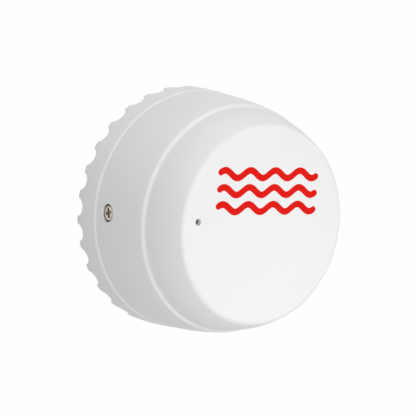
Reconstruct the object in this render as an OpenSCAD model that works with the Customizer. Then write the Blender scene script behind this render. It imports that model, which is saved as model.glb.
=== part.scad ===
// Round water leak sensor: a tiered bell housing with a scalloped skirt, closed from below by a plug.
// The circuit board hangs under the face; the plug carries the battery and the water probes, whose
// strips meet spring fingers on the board when the plug goes in. All sizes in millimetres.
// The sensor lies as it is used: skirt down on the floor at z = 0, face up, one side screw towards -X.

/* [Housing] */
// Radius of the skirt where it meets the floor
skirt_r = 30; // [29.5:0.1:34]
// How far the skirt leans in up to the ledge
skirt_lean = 0.3; // [0.1:0.05:0.6]
// Height of the ledge above the skirt
ledge_z = 7; // [5:0.1:8]
// Width of the ledge
ledge_w = 0.35; // [0.15:0.05:0.5]
// How far the body leans in up to the shoulder
body_lean = 1.7; // [1:0.05:2.2]
// Width of the shoulder between body and crown
shoulder_w = 0.6; // [0.5:0.05:1]
// Radius of the rounding on the shoulder
shoulder_round = 0.7; // [0.3:0.05:0.9]
// Height of the crown above the shoulder
crown_h = 10.6; // [9.5:0.1:12]
// Lean of the crown's side at its foot, in degrees
crown_lean = 6; // [0:0.5:8]
// Radius of the crown's curved side
crown_arc = 28; // [24:0.5:32]
// Radius of the rounding at the edge of the face
face_round = 1.4; // [0.8:0.1:2]
// Thickness of the face
face_wall = 2; // [1.6:0.1:2.4]
// Thickness of the crown's wall
crown_wall = 2; // [1.6:0.1:2.4]
// Thickness of the body's wall just above the ledge
body_wall = 2.45; // [2.3:0.05:2.8]
// Slope that leads the plug into the housing
lead_in = 0.5; // [0.3:0.1:0.8]

/* [Scallops] */
// How many water inlets the skirt has
notch_count = 30; // [20:1:34]
// Radius of an inlet
notch_r = 2.2; // [1.6:0.1:2.4]
// Height of an inlet
notch_h = 1.85; // [1.2:0.05:2.2]
// Turn of the row of inlets from the side screw, in degrees
notch_turn = 0.1; // [-6:0.05:6]

/* [Side screws] */
// Height of the screws above the floor
screw_z = 11.6; // [11:0.1:12.5]
// Length of a screw
screw_len = 8; // [7:0.1:9]
// Radius of a screw's shank
shank_r = 1.1; // [0.9:0.05:1.3]
// Length of a screw's point
screw_point = 1.2; // [0.8:0.1:1.6]
// Radius of a screw's head
head_r = 1.75; // [1.6:0.05:2]
// Height of the straight rim of a head
head_rim = 0.25; // [0.15:0.05:0.35]
// Depth of a head below the wall
head_sink = 0.4; // [0.2:0.05:0.5]
// Width of the sealing ring that shows round a head
ring_w = 0.4; // [0.2:0.05:0.5]
// Width of a bar of the cross recess
cross_w = 0.65; // [0.5:0.05:0.8]
// Span of the cross recess
cross_span = 2.4; // [2:0.1:2.7]
// Depth of the cross recess
cross_depth = 1; // [0.8:0.1:1.2]

/* [Base plug] */
// Height of the plug's underside above the floor
plug_z = 2.6; // [2.4:0.1:3]
// Thickness of the plug's floor
plug_floor = 2.2; // [1.8:0.1:2.4]
// Thickness of the plug's wall
plug_wall = 1.8; // [1.4:0.1:2]
// Height of the plug's wall above its floor
plug_wall_h = 12.6; // [12.4:0.1:14]
// Thickness of the plug's rim behind the seal
rim_wall = 2.9; // [2.6:0.1:3.2]
// Height of the rim
rim_h = 3.6; // [3:0.1:3.8]
// Gap between the plug and the housing
plug_gap = 0.12; // [0.05:0.01:0.2]
// Thickness of the O-ring's cord
seal_cord = 1.5; // [1.3:0.05:1.7]
// Depth of the O-ring's groove
groove_depth = 1.1; // [0.9:0.05:1.25]
// Radius of a boss for a side screw
screw_boss_r = 3; // [2.6:0.1:3.2]
// Thickness of the battery's saddles and end walls
rib_t = 1.6; // [1.2:0.1:2]

/* [Probes] */
// Distance of each probe from the middle
probe_x = 15; // [14.5:0.1:16]
// Radius of a probe's head
probe_head_r = 3; // [2.6:0.1:3.4]
// Height of a probe's head above the floor
probe_lift = 0.5; // [0.3:0.05:1]
// Height of the straight rim of a probe's head
probe_rim = 0.5; // [0.3:0.1:0.8]
// Radius of a probe's stud
stud_r = 1.5; // [1.2:0.05:1.6]
// Width of a nut across its flats
nut_flats = 5.5; // [5:0.1:5.8]
// Height of a nut
nut_h = 2.4; // [2:0.1:2.8]
// Width of the rubber ring round a stud
stud_seal_w = 0.9; // [0.7:0.05:1]
// Height of the rubber ring round a stud
stud_seal_h = 0.8; // [0.6:0.05:1]
// Thickness of the strips and battery contacts
strip_t = 0.4; // [0.3:0.05:0.5]
// Width of the risers that reach up to the board
riser_w = 2.5; // [2:0.1:3]
// Length of the landing at the top of a riser
landing_l = 1.8; // [1.6:0.1:2.2]
// Height of a spring finger between a landing and the board
finger_h = 2.4; // [2:0.1:3]
// Width of a spring finger
finger_w = 1.4; // [1:0.1:1.6]

/* [Battery] */
// Diameter of the cell
cell_d = 16.8; // [16:0.1:17.2]
// Length of the cell without its plus cap
cell_len = 33.6; // [32:0.1:34.2]
// Radius of the plus cap
cap_r = 3.2; // [2.5:0.1:4]
// Height of the plus cap
cap_h = 0.9; // [0.6:0.1:1.2]
// Size of the rolled edges of the cell
cell_edge = 0.5; // [0.3:0.1:0.8]
// Room for the spring leaf at the minus end
leaf_room = 3.4; // [2.8:0.1:3.6]
// Width of a battery contact
contact_w = 9; // [7:0.5:11]
// Height of a battery contact above the middle of the cell
contact_up = 5; // [4:0.1:6]

/* [Circuit board] */
// Thickness of the board
board_t = 1.2; // [1:0.1:1.6]
// Height of the space above the board
headroom = 8.6; // [8:0.1:9.5]
// Gap between the board and the crown's wall
board_gap = 1.4; // [1.2:0.1:2]
// Distance of the board's posts from the cell's axis
post_x = 14.4; // [14:0.1:14.8]
// Distance of the board's posts from the middle line across the cell
post_y = 13; // [12.6:0.1:13.4]
// Radius of a post
post_r = 2.2; // [1.9:0.1:2.5]
// Radius of a board screw's head
board_head_r = 1.9; // [1.6:0.1:2.1]
// Height of a board screw's head
board_head_h = 1.3; // [1:0.1:1.6]
// Radius of a board screw's shank
board_shank_r = 0.9; // [0.8:0.05:1]
// Depth of a board screw in its post
board_screw_in = 5; // [4:0.1:6]
// Width of the radio board
radio_w = 15; // [13:0.5:16]
// Length of the radio board
radio_l = 22; // [20:0.5:24]
// Thickness of the radio board
radio_t = 0.8; // [0.6:0.1:1]
// Place of the radio board's middle along the cell
radio_y = 2; // [1:0.5:2.5]
// Height of the shield can on the radio board
shield_h = 2.2; // [1.8:0.1:2.6]
// Diameter of the reservoir capacitor
reservoir_d = 6.3; // [5:0.1:6.6]
// Height of the reservoir capacitor
reservoir_h = 5.4; // [4.6:0.1:6]

/* [Status light] */
// Distance of the light from the rounded edge of the face
light_inset = 3.4; // [2.4:0.1:4]
// How far the light stands off the side screw's line
light_y = 1; // [0:0.1:1.5]
// Radius of the hole in the face
light_r = 0.8; // [0.5:0.05:0.9]
// How far the light guide stays below the face
light_sink = 0.7; // [0.4:0.1:1]
// Radius of the guide's rod
guide_r = 1.2; // [1:0.1:1.4]
// Radius of the guide's flange under the face
flange_r = 1.7; // [1.5:0.1:1.9]
// Height of the LED
led_h = 0.8; // [0.6:0.1:1]

/* [Pairing button] */
// Distance of the button from the cell's axis
button_x = 15.5; // [15:0.1:16]
// Place of the button along the cell
button_y = -6.8; // [-7:0.1:-6]
// Width of the button's base
button_w = 6; // [5.6:0.1:6.4]
// Height of the button's base
button_h = 3.1; // [2.9:0.1:3.4]
// Radius of the plunger
plunger_r = 1.7; // [1.4:0.05:1.8]
// Width of the collar that keeps the plunger in
collar_w = 0.35; // [0.25:0.05:0.45]
// Height of the collar
collar_h = 0.7; // [0.5:0.1:0.9]
// Height of the plunger's end above the frame
plunger_out = 1.6; // [1:0.1:2]
// Travel of the plunger
plunger_travel = 0.25; // [0.2:0.05:0.3]
// Running gap of the plunger in its frame and base
plunger_gap = 0.08; // [0.05:0.01:0.1]
// Thickness of the metal frame
frame_t = 0.3; // [0.2:0.05:0.4]

/* [Hidden] */
$fn = 72;
// Segments of the wide turned surfaces
fine = 240;

// Colours
shell_white = [0.93, 0.93, 0.94];
inner_white = [0.84, 0.84, 0.85];
rubber_black = [0.06, 0.06, 0.06];
steel = [0.72, 0.70, 0.66];
nickel = [0.78, 0.77, 0.74];
board_green = [0.08, 0.32, 0.18];
chip_black = [0.09, 0.09, 0.10];
cell_grey = [0.35, 0.37, 0.40];
ceramic_tan = [0.70, 0.58, 0.44];
guide_clear = [0.80, 0.83, 0.85, 0.6];

// A cutter reaches this far past the face that it opens
past = 1;
// Share by which a rounding stands proud of its tangent circle
round_proud = 0.005;
// Running gap between a screw, its ring and their recess
ring_gap = 0.05;
// Radial gap of a screw in its pilot hole
pilot_gap = 0.04;
// Gap round a pin or strip that passes through another piece
pass_gap = 0.15;
// Gap of a squeezed seal from its walls
seal_gap = 0.02;
// Gap between the cell and the board, and between the cell and the plug's floor
cell_gap = 0.6;
// Gap between the cell and its saddles and contacts
seat_gap = 0.1;

// Heights, from the floor up
plug_top = plug_z + plug_floor;
seat_z = plug_top + plug_wall_h;
cell_z = plug_top + cell_gap + cell_d / 2;
board_z = cell_z + cell_d / 2 + cell_gap;
board_top = board_z + board_t;
landing_z = board_z - finger_h;
face_under = board_top + headroom;
housing_h = face_under + face_wall;
crown_z = housing_h - crown_h;

// Radii and arcs of the housing's tiers: the body starts upright and the crown leaning, along one arc each
skirt_top_r = skirt_r - skirt_lean;
body_r = skirt_top_r - ledge_w;
body_rise = crown_z - ledge_z;
body_arc = (body_rise * body_rise + body_lean * body_lean) / (2 * body_lean);
crown_r = body_r - body_lean - shoulder_w;
bore_r = body_r - body_wall;
upper_r = crown_r - crown_wall;
crown_mid = crown_z - crown_arc * sin(crown_lean);
crown_wide = crown_r + crown_arc * (1 - cos(crown_lean));
face_r = round_x(crown_mid, housing_h, crown_wide, crown_arc, face_round);

// Side screws
screw_wall_r = body_r - body_arc + sqrt(body_arc * body_arc - pow(screw_z - ledge_z, 2));
cone_h = head_r - shank_r;
ring_r = head_r + ring_w;
ring_top = head_sink + head_rim / 2;
ring_seat = head_sink + head_rim + cone_h + 4 * ring_gap;
recess_r = ring_r + ring_gap;
screw_tip_r = screw_wall_r - head_sink - screw_len;

// Base plug
plug_r = bore_r - plug_gap;
plug_in_r = plug_r - plug_wall;
rim_in_r = plug_r - rim_wall;
rim_z = seat_z - rim_h;
groove_r = plug_r - groove_depth;
groove_w = seal_cord + 2 * pass_gap;
groove_mid = seat_z - rim_h / 2;
screw_boss_end = 1.6;
plug_floor_mid = plug_z + plug_floor / 2;
plug_edge = 0.5;
saddle_y = cell_len * 0.3;
post_spots = [for (x = [-post_x, post_x], y = [-post_y, post_y]) [x, y]];

// Probes, strips and contacts
nut_corner_r = nut_flats / 2 / cos(30);
strip_ring_r = nut_flats / 2 + strip_t;
boss_rib_gap = 1.3;
boss_rib_x = probe_x + nut_corner_r + boss_rib_gap;
riser_x = probe_x - nut_corner_r - 3 * strip_t;
stud_top = plug_top + strip_t + nut_h + strip_t;
plus_y = cell_len / 2 + cap_h + seat_gap;
minus_y = -cell_len / 2 - leaf_room;
contact_z = plug_top + seat_gap;
contact_top = cell_z + contact_up;
lip_w = 1;
lip_t = cap_h - seat_gap;

// Status light and small pieces on top of the board
light_x = -(face_r - light_inset);
guide_z = board_top + led_h + 2 * pass_gap;
board_r = upper_r - board_gap;
board_hole_r = board_shank_r + pass_gap;
chip_x = -15.5;
chip_y = -6;
regulator_x = 15.5;
regulator_y = -6;
reservoir_x = 16;
reservoir_y = 4.5;
sense_w = 4;
sense_l = 5;
sense_h = 1.5;
sense_pitch = 1.27;
regulator_w = 1.6;
regulator_l = 2.9;
regulator_h = 1;
regulator_pitch = 0.95;
leg_w = 0.4;
leg_t = 0.2;
leg_bend = 0.4;
leg_toe = 0.9;
leg_lift = 0.1;
small_l = 1.6;
small_w = 0.8;
small_h = 0.6;
small_chip = [small_l, small_w, small_h];
small_pitch = 1.8;
small_count = 4;
sense_legs = 4;
regulator_legs = 3;
small_y = 4;

// Pairing button, under the board and pressed upwards; its heights count down from the board
pocket_r = plunger_r + collar_w + plunger_gap;
collar_at = button_h - collar_h - plunger_gap;
dome_t = 0.15;
dome_at = collar_at - plunger_travel - plunger_gap;

// Middle of the rounding at a tier's top edge: how far out it lies
function round_x(mid, top, r0, arc, f) = r0 - arc + sqrt(pow(arc - f, 2) - pow(top - f - mid, 2));

// Height at which the rounding leaves the tier's arc
function round_z(mid, top, arc, f) = mid + (top - f - mid) * arc / (arc - f);

// Half section of a tier whose side leans in along an arc that is upright at r0, at the height mid
module tier(z0, z1, mid, r0, arc) {
    intersection() {
        translate([r0 - arc, mid]) circle(arc, $fn = fine);
        translate([0, z0]) square([r0 + past, z1 - z0]);
    }
}

// The same with its top edge rounded; the rounding stands a hair proud so that it crosses its neighbours
module rounded_tier(z0, top, mid, r0, arc, f) {
    fx = round_x(mid, top, r0, arc, f);
    fz = round_z(mid, top, arc, f);
    difference() {
        tier(z0, top, mid, r0, arc);
        difference() {
            translate([fx, fz]) square(2 * f);
            translate([fx, top - f]) circle(f * (1 + round_proud));
        }
    }
}

module housing_section() {
    difference() {
        union() {
            polygon([[0, 0], [skirt_r, 0], [skirt_top_r, ledge_z], [0, ledge_z]]);
            rounded_tier(ledge_z, crown_z, ledge_z, body_r, body_arc, shoulder_round);
            rounded_tier(crown_z, housing_h, crown_mid, crown_wide, crown_arc, face_round);
        }
        polygon([
            [0, -past], [bore_r + lead_in + past, -past], [bore_r, lead_in], [bore_r, seat_z], [0, seat_z]
        ]);
        translate([0, seat_z]) square([upper_r, crown_z - seat_z]);
        tier(crown_z, face_under, crown_mid, crown_wide - crown_wall - seat_gap, crown_arc - crown_wall);
    }
}

// Places its children on the wall at a side screw, with their +Z pointing out of the housing
module at_screw(turn) {
    rotate(turn) translate([screw_wall_r, 0, screw_z]) rotate([0, 90, 0]) children();
}

// Places its children at both ends of the cell's cross line
module both_sides(x) {
    for (side = [-1, 1]) translate([side * x, 0, 0]) children();
}

// A block with its middle at x and y, standing on z
module block(size, x, y, z) {
    translate([x - size[0] / 2, y - size[1] / 2, z]) cube(size);
}

module housing() {
    color(shell_white) difference() {
        union() {
            rotate_extrude($fn = fine) housing_section();
            for (spot = post_spots) translate([spot[0], spot[1], board_top])
                cylinder(r = post_r, h = headroom + face_wall / 2);
        }
        for (spot = post_spots) translate([spot[0], spot[1], board_top - past])
            cylinder(r = board_shank_r + pilot_gap, h = board_screw_in + 2 * past);
        for (i = [0 : notch_count - 1])
            rotate(180 + notch_turn + i * 360 / notch_count)
                translate([bore_r - past, 0, notch_h - notch_r])
                    rotate([0, 90, 0]) cylinder(r = notch_r, h = skirt_r - bore_r + 2 * past);
        for (turn = [0, 180]) at_screw(turn) {
            translate([0, 0, -ring_seat]) cylinder(r = recess_r, h = ring_seat + past);
            translate([0, 0, -body_wall - past]) cylinder(r = shank_r + pass_gap, h = body_wall + past);
        }
        translate([light_x, light_y, face_under - past]) cylinder(r = light_r, h = face_wall + 2 * past);
    }
}

module light_guide() {
    color(guide_clear) translate([light_x, light_y, 0]) {
        translate([0, 0, guide_z]) cylinder(r = guide_r, h = face_under - guide_z);
        translate([0, 0, face_under - led_h]) cylinder(r = flange_r, h = led_h);
        translate([0, 0, face_under - led_h])
            cylinder(r = light_r - seal_gap, h = led_h + face_wall - light_sink);
    }
}

module plug_section() {
    difference() {
        polygon([
            [0, plug_z], [plug_r - plug_edge, plug_z], [plug_r, plug_z + plug_edge], [plug_r, seat_z],
            [rim_in_r, seat_z], [rim_in_r, rim_z], [plug_in_r, rim_z - (plug_in_r - rim_in_r)],
            [plug_in_r, plug_top], [0, plug_top]
        ]);
        translate([groove_r, groove_mid - groove_w / 2]) square([groove_depth + past, groove_w]);
    }
}

// A wall behind a battery contact, with lips that hold the contact's edges; y is the contact's inner face
module end_wall(y, out) {
    wall_w = contact_w + 2 * rib_t;
    wall_h = contact_top - plug_top - lip_w;
    wall_t = lip_t + strip_t + rib_t;
    cut_h = wall_h + past;
    translate([0, y, 0]) difference() {
        block([wall_w, wall_t, wall_h + plug_floor / 2], 0, out * (wall_t / 2 - lip_t), plug_floor_mid);
        block([contact_w - 2 * lip_w, 2 * lip_t, cut_h], 0, -out * lip_t, plug_top);
        block([contact_w + 2 * seat_gap, strip_t + seat_gap, cut_h], 0, out * strip_t / 2, plug_top);
    }
}

module base_plug() {
    color(inner_white) difference() {
        union() {
            rotate_extrude($fn = fine) plug_section();
            for (turn = [0, 180]) rotate(turn) {
                boss_x = screw_tip_r - screw_boss_end;
                translate([boss_x, 0, screw_z]) rotate([0, 90, 0])
                    cylinder(r = screw_boss_r, h = plug_in_r + plug_wall / 2 - boss_x);
                block([plug_in_r + plug_wall / 2 - boss_rib_x, rib_t, screw_z - plug_floor_mid],
                    (boss_rib_x + plug_in_r + plug_wall / 2) / 2, 0, plug_floor_mid);
            }
            for (side = [-1, 1])
                block([cell_d + 2 * rib_t, rib_t, cell_d / 3 + plug_floor / 2],
                    0, side * saddle_y, plug_floor_mid);
            end_wall(plus_y, 1);
            end_wall(minus_y, -1);
        }
        translate([0, 0, cell_z]) rotate([90, 0, 0])
            cylinder(r = cell_d / 2 + seat_gap, h = 2 * saddle_y + 2 * rib_t, center = true);
        for (turn = [0, 180]) rotate(turn) translate([screw_tip_r - pass_gap, 0, screw_z]) rotate([0, 90, 0])
            cylinder(r = shank_r + pilot_gap, h = screw_len);
        both_sides(probe_x) {
            translate([0, 0, plug_z - past]) cylinder(r = stud_r + pilot_gap, h = plug_floor + 2 * past);
            translate([0, 0, plug_z - past])
                cylinder(r = stud_r + stud_seal_w + seal_gap, h = stud_seal_h + seal_gap + past);
        }
    }
}

// The cord of the O-ring, pressed flat between the groove and the bore
module plug_seal() {
    color(rubber_black) rotate_extrude($fn = fine) intersection() {
        translate([(groove_r + bore_r) / 2, groove_mid]) circle(seal_cord / 2, $fn = 36);
        translate([groove_r + seal_gap, groove_mid - seal_cord])
            square([bore_r - groove_r - 2 * seal_gap, 2 * seal_cord]);
    }
}

module side_screw(turn) {
    color(steel) at_screw(turn) difference() {
        rotate_extrude() polygon([
            [0, -head_sink], [head_r, -head_sink], [head_r, -head_sink - head_rim],
            [shank_r, -head_sink - head_rim - cone_h], [shank_r, screw_point - head_sink - screw_len],
            [shank_r / 4, -head_sink - screw_len], [0, -head_sink - screw_len]
        ]);
        translate([0, 0, -head_sink]) intersection() {
            for (bar = [0, 90]) rotate(bar)
                block([cross_span, cross_w, cross_depth + past], 0, 0, -cross_depth);
            translate([0, 0, -cross_depth])
                cylinder(r1 = cross_w, r2 = cross_span / 2 + past / 2, h = cross_depth + past);
        }
    }
}

module screw_ring(turn) {
    cone_top = -head_sink - head_rim - ring_gap;
    color(rubber_black) at_screw(turn) rotate_extrude() polygon([
        [head_r + ring_gap, -ring_top], [ring_r, -ring_top], [ring_r, ring_gap - ring_seat],
        [shank_r + ring_gap, ring_gap - ring_seat], [shank_r + ring_gap, cone_top - cone_h],
        [head_r + ring_gap, cone_top]
    ]);
}

module water_probes() {
    head_h = plug_z - probe_lift;
    dome_h = head_h - probe_rim;
    dome_r = (probe_head_r * probe_head_r + dome_h * dome_h) / (2 * dome_h);
    color(nickel) both_sides(probe_x) {
        rotate_extrude() intersection() {
            translate([0, probe_lift + dome_r]) circle(dome_r);
            translate([0, probe_lift]) square([probe_head_r, head_h]);
        }
        translate([0, 0, plug_z - probe_rim]) cylinder(r = stud_r, h = stud_top - plug_z + probe_rim);
    }
}

module probe_seals() {
    color(rubber_black) both_sides(probe_x) translate([0, 0, plug_z]) difference() {
        cylinder(r = stud_r + stud_seal_w, h = stud_seal_h);
        translate([0, 0, -past]) cylinder(r = stud_r + seal_gap, h = stud_seal_h + 2 * past);
    }
}

module probe_nuts() {
    color(nickel) both_sides(probe_x) translate([0, 0, plug_top + strip_t]) difference() {
        cylinder(r = nut_corner_r, h = nut_h, $fn = 6);
        translate([0, 0, -past]) cylinder(r = stud_r + pilot_gap, h = nut_h + 2 * past);
    }
}

module probe_strips() {
    color(nickel) for (turn = [0, 180]) rotate(turn) translate([0, 0, plug_top]) {
        difference() {
            union() {
                translate([probe_x, 0, 0]) cylinder(r = strip_ring_r, h = strip_t);
                block([probe_x - riser_x, riser_w, strip_t], (probe_x + riser_x) / 2, 0, 0);
            }
            translate([probe_x, 0, -past]) cylinder(r = stud_r + pilot_gap, h = strip_t + 2 * past);
        }
        block([strip_t, riser_w, landing_z - plug_top], riser_x + strip_t / 2, 0, 0);
        block([landing_l, riser_w, strip_t], riser_x + landing_l / 2, 0, landing_z - plug_top - strip_t);
    }
}

// The cell stands on its axis here: rolled edge at the minus end, shoulder and plus cap at the other
module cell_section() {
    r = cell_d / 2;
    half = cell_len / 2;
    polygon([
        [0, -half], [r - cell_edge, -half], [r, cell_edge - half], [r, half - cell_edge],
        [r - cell_edge, half], [r - 3 * cell_edge, half], [r - 4 * cell_edge, half - cell_edge],
        [cap_r, half - cell_edge], [cap_r, half + cap_h - cell_edge / 2],
        [cap_r - cell_edge / 2, half + cap_h], [0, half + cap_h]
    ]);
}

module battery_cell() {
    color(cell_grey) translate([0, 0, cell_z]) rotate([-90, 0, 0]) rotate_extrude() cell_section();
}

// The flat of a battery contact with its riser and landing; y is its inner face
module contact_plate(y, out) {
    plate_y = y + out * strip_t / 2;
    block([contact_w, strip_t, contact_top - contact_z], 0, plate_y, contact_z);
    block([riser_w, strip_t, landing_z - contact_z], 0, plate_y, contact_z);
    block([riser_w, landing_l, strip_t], 0, y + out * landing_l / 2, landing_z - strip_t);
}

module plus_contact() {
    color(nickel) contact_plate(plus_y, 1);
}

// The spring leaf leaves the flat above, touches the cell at its middle and springs back below
module minus_contact() {
    root_y = minus_y - strip_t / 2;
    touch_y = -cell_len / 2 - seat_gap;
    leaf_up = contact_up - strip_t;
    leaf_end = minus_y + leaf_room / 4;
    color(nickel) {
        contact_plate(minus_y, -1);
        rotate([90, 0, 90]) linear_extrude(contact_w - 4 * lip_w, center = true) polygon([
            [root_y, cell_z + leaf_up], [minus_y, cell_z + leaf_up], [touch_y, cell_z],
            [leaf_end, cell_z - leaf_up], [leaf_end - strip_t, cell_z - leaf_up],
            [touch_y - strip_t, cell_z], [minus_y, cell_z + leaf_up - 3 * strip_t],
            [root_y, cell_z + leaf_up - 3 * strip_t]
        ]);
    }
}

// A spring finger: a foot under the board, an arm that slopes down to the landing and a turned-up tip
module spring_finger() {
    foot_end = 4.4;
    foot_start = 2.8;
    tip = -0.8;
    tip_rise = 0.7;
    touch_z = landing_z + seat_gap;
    rotate([90, 0, 0]) linear_extrude(finger_w, center = true) polygon([
        [foot_end, board_z], [foot_start, board_z], [0, touch_z + strip_t],
        [tip, touch_z + strip_t + tip_rise], [tip, touch_z + tip_rise], [0, touch_z],
        [foot_start + strip_t / 2, board_z - strip_t], [foot_end, board_z - strip_t]
    ]);
}

module spring_fingers() {
    color(nickel) {
        for (turn = [0, 180]) rotate(turn)
            translate([riser_x + landing_l / 2, 0, 0]) rotate(90) spring_finger();
        translate([0, plus_y + landing_l / 2, 0]) spring_finger();
        translate([0, minus_y - landing_l / 2, 0]) spring_finger();
    }
}

module circuit_board() {
    color(board_green) difference() {
        translate([0, 0, board_z]) cylinder(r = board_r, h = board_t, $fn = fine);
        for (spot = post_spots) translate([spot[0], spot[1], board_z - past])
            cylinder(r = board_hole_r, h = board_t + 2 * past);
    }
}

module board_screws() {
    dome_r = (board_head_r * board_head_r + board_head_h * board_head_h) / (2 * board_head_h);
    color(steel) for (spot = post_spots) translate([spot[0], spot[1], board_z]) {
        rotate_extrude() intersection() {
            translate([0, dome_r - board_head_h]) circle(dome_r);
            translate([0, -board_head_h]) square([board_head_r, board_head_h]);
        }
        translate([0, 0, -board_head_h / 2])
            cylinder(r = board_shank_r, h = board_head_h / 2 + board_t + board_screw_in);
    }
}

module radio_board() {
    pad = 0.5;
    pads = 8;
    pad_pitch = radio_l / (pads + 3);
    color(board_green) difference() {
        block([radio_w, radio_l, radio_t], 0, radio_y, board_top);
        for (side = [-1, 1], i = [0 : pads - 1])
            translate([side * radio_w / 2, radio_y - radio_l / 2 + (i + 1) * pad_pitch, board_top - past])
                cylinder(r = pad, h = radio_t + 2 * past);
    }
}

// The shield can leaves the far end of the radio board free for its aerial
module radio_shield() {
    can_w = radio_w - 3;
    can_l = radio_l * 0.68;
    can_t = 0.25;
    can_y = radio_y - (radio_l - can_l) / 2 + can_t * 3;
    can_z = board_top + radio_t;
    color(nickel) difference() {
        block([can_w, can_l, shield_h], 0, can_y, can_z);
        block([can_w - 2 * can_t, can_l - 2 * can_t, shield_h - can_t + past], 0, can_y, can_z - past);
    }
}

module radio_chip() {
    chip_w = radio_w * 0.4;
    chip_at = radio_y - radio_l * 0.14;
    color(chip_black) block([chip_w, chip_w, shield_h * 0.4], 0, chip_at, board_top + radio_t);
}

// A moulded chip with bent legs along both long sides
module leaded_chip(body, legs, pitch, x, y) {
    mid = leg_lift + body[2] / 2;
    translate([x, y, board_top]) {
        color(chip_black) block(body, 0, 0, leg_lift);
        color(nickel) for (turn = [0, 180], i = [0 : legs - 1])
            rotate(turn) translate([body[0] / 2, (i - (legs - 1) / 2) * pitch, 0])
                rotate([90, 0, 0]) linear_extrude(leg_w, center = true) polygon([
                    [-leg_bend, mid], [leg_bend, mid], [leg_bend, leg_t], [leg_toe, leg_t], [leg_toe, 0],
                    [leg_bend - leg_t, 0], [leg_bend - leg_t, mid - leg_t], [-leg_bend, mid - leg_t]
                ]);
    }
}

module sense_chip() {
    leaded_chip([sense_w, sense_l, sense_h], sense_legs, sense_pitch, chip_x, chip_y);
}

module regulator_chip() {
    leaded_chip([regulator_w, regulator_l, regulator_h], regulator_legs, regulator_pitch,
        regulator_x, regulator_y);
}

module reservoir_capacitor() {
    foot_h = 0.6;
    neck_h = 0.5;
    neck_in = 0.25;
    foot_w = reservoir_d + 0.3;
    translate([reservoir_x, reservoir_y, board_top]) {
        color(chip_black) block([foot_w, foot_w, foot_h], 0, 0, 0);
        color(nickel) rotate_extrude() polygon([
            [0, 0], [reservoir_d / 2, foot_h], [reservoir_d / 2, foot_h + neck_h],
            [reservoir_d / 2 - neck_in, foot_h + 1.5 * neck_h], [reservoir_d / 2, foot_h + 2 * neck_h],
            [reservoir_d / 2, reservoir_h], [reservoir_d / 2 - neck_in, reservoir_h + neck_in],
            [0, reservoir_h + neck_in]
        ]);
    }
}

module chip_capacitors() {
    color(ceramic_tan) for (i = [0 : small_count - 1])
        block(small_chip, chip_x + small_chip[0], small_y + i * small_pitch, board_top);
}

module chip_resistors() {
    flat = small_chip[2] * 0.75;
    color(chip_black) for (i = [0 : small_count - 1])
        translate([-2 * small_chip[0], i * small_pitch, 0])
            block([small_chip[0], small_chip[1], flat], chip_x + small_chip[0], small_y, board_top);
}

module status_led() {
    color([0.95, 0.93, 0.80]) block([small_chip[0], 2 * small_chip[1], led_h], light_x, light_y, board_top);
}

// Places its children at the button, upside down: their +Z counts down from the board's underside
module under_board() {
    translate([button_x, button_y, board_z]) mirror([0, 0, 1]) children();
}

module button_base() {
    leg_w = 0.7;
    leg_t = 0.2;
    leg_out = 0.9;
    pocket_at = dome_at - 2 * dome_t;
    under_board() {
        color(chip_black) difference() {
            block([button_w, button_w, button_h], 0, 0, 0);
            translate([0, 0, pocket_at]) cylinder(r = pocket_r, h = button_h - pocket_at + past);
        }
        color(nickel) for (sx = [-1, 1], sy = [-1, 1])
            block([leg_out, leg_w, leg_t], sx * (button_w + leg_out) / 2, sy * button_w / 3, 0);
    }
}

// The snap dome behind the plunger, a shallow cap of thin steel
module button_dome() {
    edge_r = pocket_r - plunger_gap;
    cap = (edge_r * edge_r + dome_t * dome_t) / (2 * dome_t);
    color(steel) under_board() translate([0, 0, dome_at - 2 * dome_t]) rotate_extrude() intersection() {
        difference() {
            translate([0, 2 * dome_t - cap]) circle(cap, $fn = fine);
            translate([0, dome_t - cap]) circle(cap, $fn = fine);
        }
        translate([0, -dome_t]) square([edge_r, 4 * dome_t]);
    }
}

module button_frame() {
    color(nickel) under_board() difference() {
        block([button_w, button_w, frame_t], 0, 0, button_h);
        translate([0, 0, button_h - past]) cylinder(r = plunger_r + plunger_gap, h = frame_t + 2 * past);
    }
}

module button_plunger() {
    color(chip_black) under_board() translate([0, 0, collar_at]) {
        cylinder(r = plunger_r + collar_w, h = collar_h);
        cylinder(r = plunger_r, h = collar_h + plunger_gap + frame_t + plunger_out);
    }
}

housing();
light_guide();
base_plug();
plug_seal();
side_screw(180);  // side_screw_left
side_screw(0);  // side_screw_right
screw_ring(180);  // screw_ring_left
screw_ring(0);  // screw_ring_right
water_probes();
probe_seals();
probe_nuts();
probe_strips();
battery_cell();
plus_contact();
minus_contact();
spring_fingers();
circuit_board();
board_screws();
radio_board();
radio_chip();
radio_shield();
sense_chip();
regulator_chip();
reservoir_capacitor();
chip_capacitors();
chip_resistors();
status_led();
button_base();
button_dome();
button_frame();
button_plunger();
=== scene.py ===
# Looks of a round water leak sensor: soft-edged white bell, threaded side screws, red face print.
# Pieces are shaped in millimetres and scaled to metres when they are finished.
import math

import bmesh
import bpy
from mathutils import Matrix, Vector


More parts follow.
